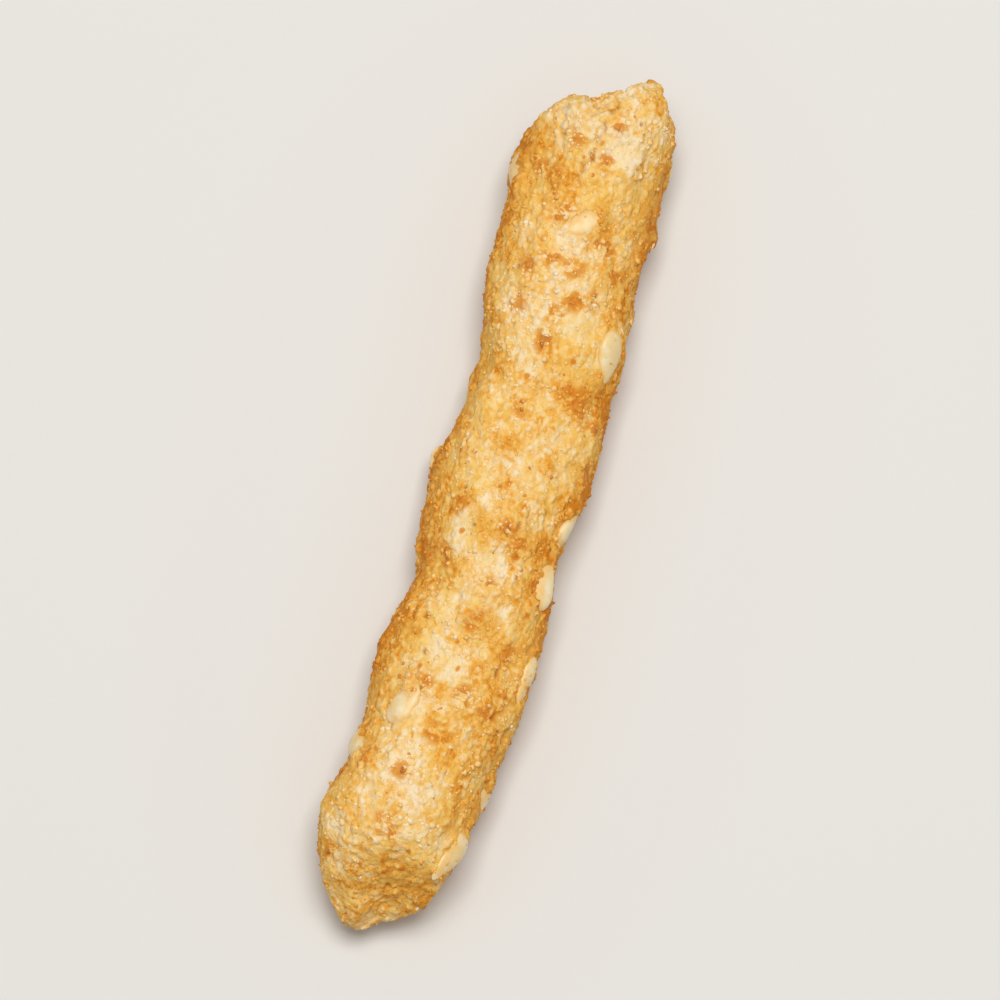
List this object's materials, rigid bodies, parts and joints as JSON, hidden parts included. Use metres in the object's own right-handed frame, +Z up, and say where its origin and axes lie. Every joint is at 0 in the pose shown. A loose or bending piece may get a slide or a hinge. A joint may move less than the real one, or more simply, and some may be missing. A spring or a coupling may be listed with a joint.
{
  "type": "sesame stick",
  "caption": "Crunchy fried dough snack stick with hulled sesame seeds in its rough golden skin, torn at one end and sliced at the other.",
  "frame": {"origin": "centre of the bounding box's bottom, on the surface that the stick lies on", "axes": "+X along the stick towards its torn end, +Z up from the flat spot it rests on"},
  "size_m": [0.0464, 0.009, 0.008],
  "materials": {
    "crust": "rough golden fried dough with amber and cream grains and a faint film of oil",
    "sesame_seed": "smooth ivory hulled sesame seed",
    "bran": "matt red-brown flakes of toasted bran",
    "salt": "small dull white salt grains"
  },
  "bodies": {
    "root": {"sesame_stick": "crust"}
  },
  "joints": []
}
